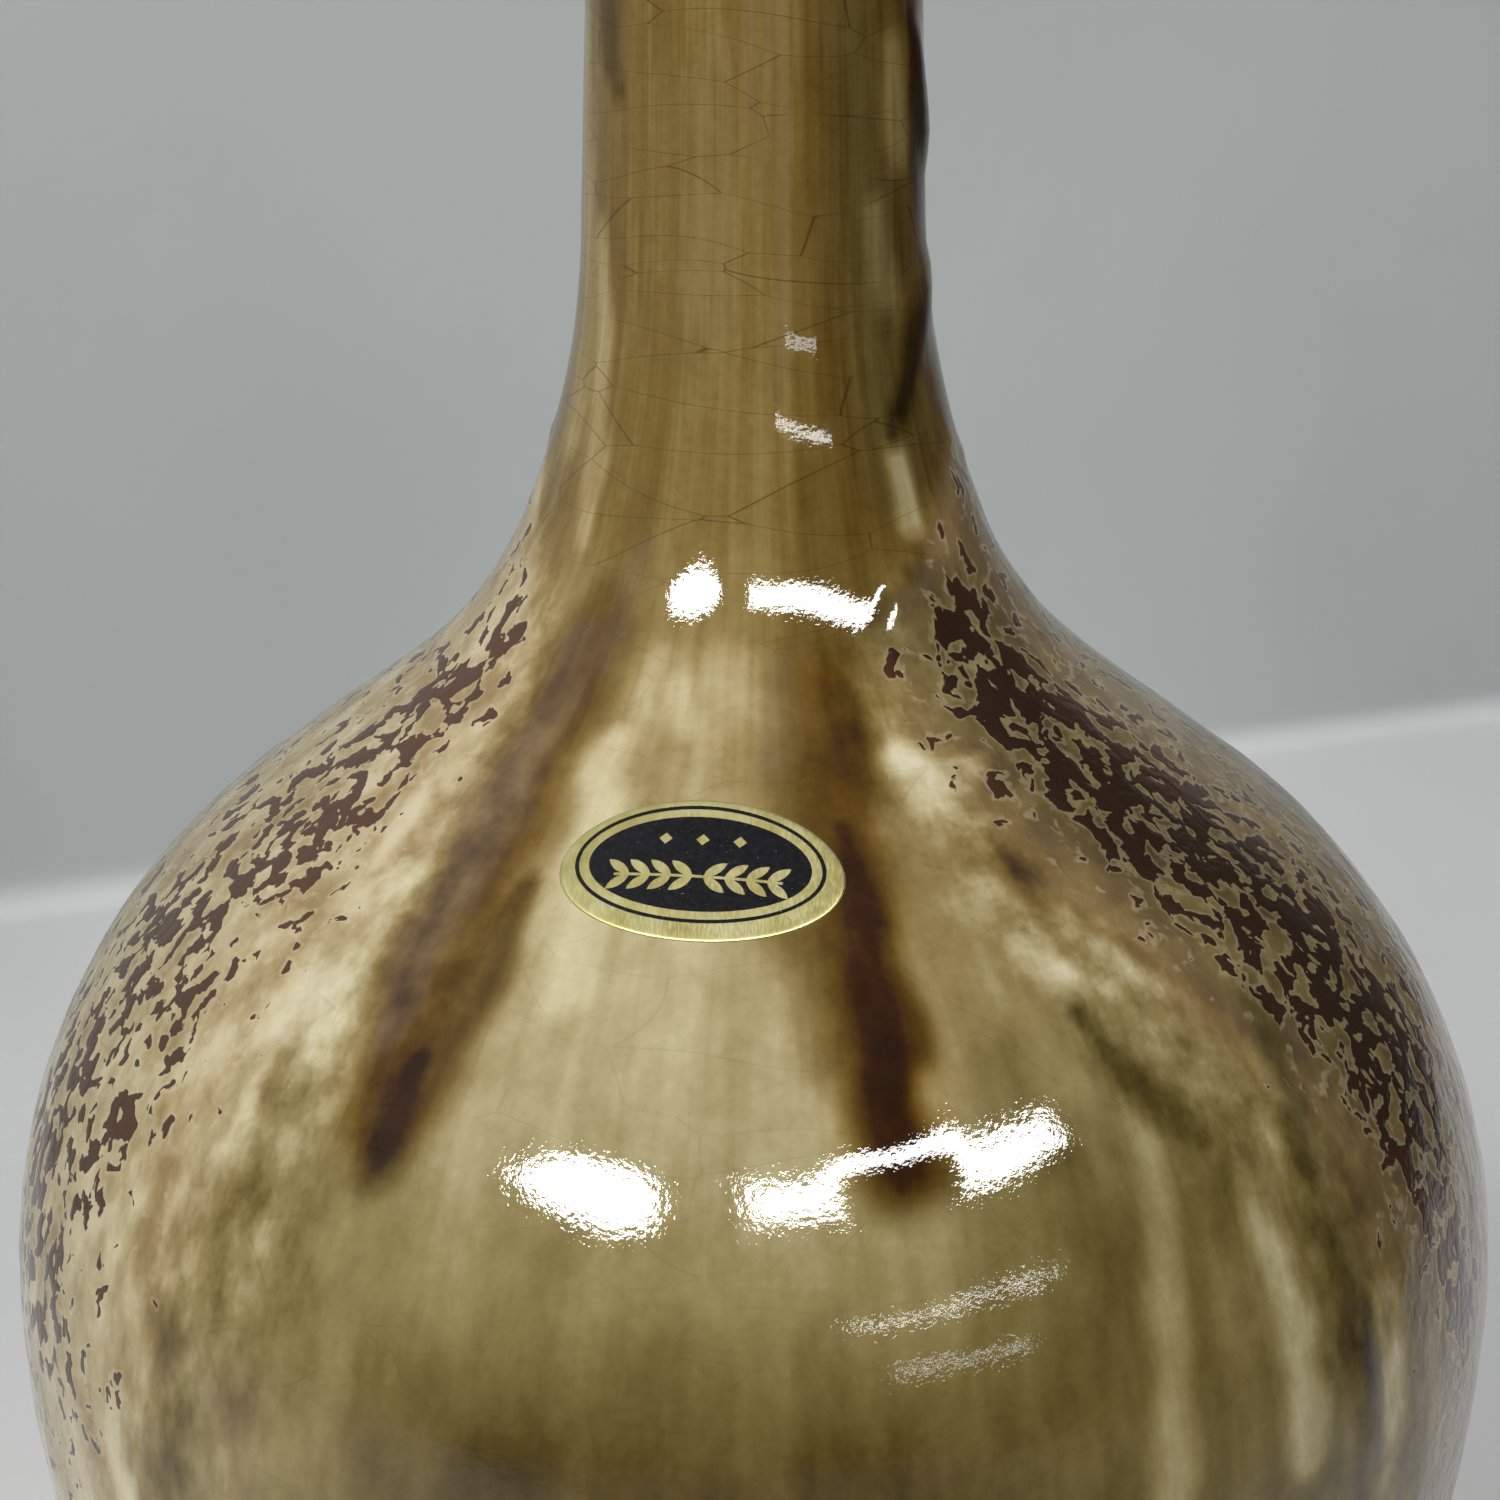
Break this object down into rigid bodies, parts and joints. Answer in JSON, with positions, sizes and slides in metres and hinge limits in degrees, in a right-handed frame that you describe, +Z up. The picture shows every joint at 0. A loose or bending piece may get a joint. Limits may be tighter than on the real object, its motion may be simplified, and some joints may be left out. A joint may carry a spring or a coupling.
{
  "type": "long-necked sake bottle",
  "caption": "Round-bellied stoneware bottle with a long slim neck, flared lip, poured glaze and a small oval foil label.",
  "frame": {"origin": "centre of the foot, on the surface that the bottle stands on", "axes": "+Z up along the bottle's axis of turning, -Y towards the label and the poured front, +X to the right seen from the front"},
  "size_m": [0.1394, 0.1397, 0.2388],
  "materials": {
    "stoneware": "matt unglazed fired clay with fine grog",
    "body_glaze": "glossy pinkish buff with dark brown speckles",
    "liner_glaze": "glossy plain buff",
    "ash_glaze": "glossy amber and olive, streaked, runny and finely crackled",
    "adhesive": "clear dried glue film",
    "gold_foil": "satin gold foil paper",
    "black_ink": "smooth black print"
  },
  "bodies": {
    "root": {"stoneware_body": "stoneware", "body_glaze": "body_glaze", "liner_glaze": "liner_glaze", "ash_glaze": "ash_glaze", "label_adhesive": "adhesive", "label_foil": "gold_foil", "label_ink": "black_ink"}
  },
  "joints": []
}
